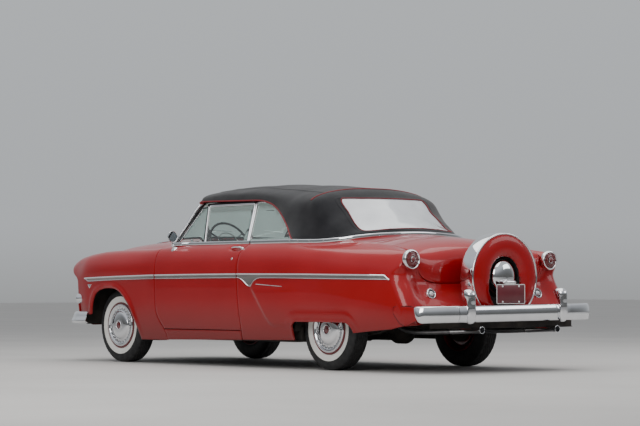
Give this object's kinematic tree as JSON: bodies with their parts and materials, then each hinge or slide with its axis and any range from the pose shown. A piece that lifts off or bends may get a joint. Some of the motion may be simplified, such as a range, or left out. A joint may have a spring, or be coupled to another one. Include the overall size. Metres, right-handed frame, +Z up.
{
  "type": "1950s convertible car",
  "caption": "Two-door convertible car of the 1950s with its fabric roof up, whitewall tyres and a covered spare wheel carried on the rear bumper.",
  "frame": {"origin": "on the floor under the middle of the car's box", "axes": "+X to the car's left, +Y to its rear, +Z up"},
  "size_m": [1.895, 5.1787, 1.566],
  "materials": {
    "body_paint": "gloss deep red enamel",
    "chrome": "polished chrome plate",
    "red_lens": "moulded red lamp lens",
    "tyre": "black rubber with a cream sidewall band",
    "black_metal": "satin black paint",
    "steel": "dull aluminised steel",
    "engine_iron": "painted casting",
    "glass": "slightly green tinted safety glass",
    "clear_sheet": "clear flexible sheet, slightly cloudy",
    "roof_cloth": "black canvas with red piping",
    "upholstery": "pleated vinyl",
    "black_plastic": "moulded",
    "plate": "painted plate, blank"
  },
  "bodies": {
    "body": {"front_fender_left": "body_paint", "front_fender_right": "body_paint", "rear_quarter_left": "body_paint", "rear_quarter_right": "body_paint", "cowl": "body_paint", "rear_deck_panel": "body_paint", "tail_panel": "body_paint", "bumper_extension_panel": "body_paint", "grille_panel": "body_paint", "spare_wheel": "body_paint", "grille": "chrome", "front_bumper": "chrome", "rear_bumper": "chrome", "headlamps": "chrome", "parking_lamps": "chrome", "reversing_lamps": "chrome", "windshield_frame": "chrome", "tail_lamps": "red_lens", "chassis_frame": "black_metal", "rear_axle": "black_metal", "front_suspension": "black_metal", "steering_column": "black_metal", "radiator": "black_metal", "inner_fenders": "black_metal", "floor_pan": "black_metal", "fuel_tank": "steel", "exhaust_pipes": "steel", "engine": "engine_iron", "windshield_glass": "glass", "quarter_windows": "glass", "rear_window": "clear_sheet", "soft_top": "roof_cloth", "front_seat": "upholstery", "rear_seat": "upholstery", "dashboard": "body_paint", "license_plate": "plate"},
    "door_left_body": {"door_left": "body_paint", "door_glass_left": "glass", "door_mirror": "chrome"},
    "door_right_body": {"door_right": "body_paint", "door_glass_right": "glass"},
    "hood_body": {"hood": "body_paint"},
    "trunk_lid_body": {"trunk_lid": "body_paint"},
    "knuckle_left_body": {"knuckle_left": "black_metal"},
    "knuckle_right_body": {"knuckle_right": "black_metal"},
    "wheel_front_left_body": {"wheel_front_left": "chrome", "tyre_front_left": "tyre"},
    "wheel_front_right_body": {"wheel_front_right": "chrome", "tyre_front_right": "tyre"},
    "wheel_rear_left_body": {"wheel_rear_left": "chrome", "tyre_rear_left": "tyre"},
    "wheel_rear_right_body": {"wheel_rear_right": "chrome", "tyre_rear_right": "tyre"},
    "steering_wheel_body": {"steering_wheel": "black_plastic"}
  },
  "joints": [
    {"name": "steer_left", "type": "hinge", "parent": "body", "child": "knuckle_left_body", "pos_m": [0.66, -1.759, 0.333], "axis": [0, 0, 1], "range_deg": [-30, 30]},
    {"name": "steer_right", "type": "hinge", "parent": "body", "child": "knuckle_right_body", "pos_m": [-0.66, -1.759, 0.333], "axis": [0, 0, 1], "range_deg": [-30, 30]},
    {"name": "steering_wheel_turn", "type": "hinge", "parent": "body", "child": "steering_wheel_body", "pos_m": [0.36, -0.723, 1.06], "axis": [0, 0.8829, 0.4695], "range_deg": [-600, 600]},
    {"name": "spin_front_left", "type": "hinge", "parent": "knuckle_left_body", "child": "wheel_front_left_body", "pos_m": [0.7365, -1.759, 0.333], "axis": [1, 0, 0], "continuous": true},
    {"name": "spin_front_right", "type": "hinge", "parent": "knuckle_right_body", "child": "wheel_front_right_body", "pos_m": [-0.7365, -1.759, 0.333], "axis": [1, 0, 0], "continuous": true},
    {"name": "spin_rear_left", "type": "hinge", "parent": "body", "child": "wheel_rear_left_body", "pos_m": [0.711, 1.175, 0.333], "axis": [1, 0, 0], "continuous": true},
    {"name": "spin_rear_right", "type": "hinge", "parent": "body", "child": "wheel_rear_right_body", "pos_m": [-0.711, 1.175, 0.333], "axis": [1, 0, 0], "continuous": true},
    {"name": "door_left_hinge", "type": "hinge", "parent": "body", "child": "door_left_body", "pos_m": [0.9365, -1.0685, 0.65], "axis": [0, 0, -1], "range_deg": [0, 65]},
    {"name": "door_right_hinge", "type": "hinge", "parent": "body", "child": "door_right_body", "pos_m": [-0.9365, -1.0685, 0.65], "axis": [0, 0, 1], "range_deg": [0, 65]},
    {"name": "hood_hinge", "type": "hinge", "parent": "body", "child": "hood_body", "pos_m": [0, -1.27, 1.128], "axis": [-1, 0, 0], "range_deg": [0, 50]},
    {"name": "trunk_hinge", "type": "hinge", "parent": "body", "child": "trunk_lid_body", "pos_m": [0, 1.347, 1.1], "axis": [1, 0, 0], "range_deg": [0, 50]}
  ],
  "couplings": [
    {"joint": "steer_right", "follows": "steer_left", "ratio": 1},
    {"joint": "steering_wheel_turn", "follows": "steer_left", "ratio": 20}
  ]
}
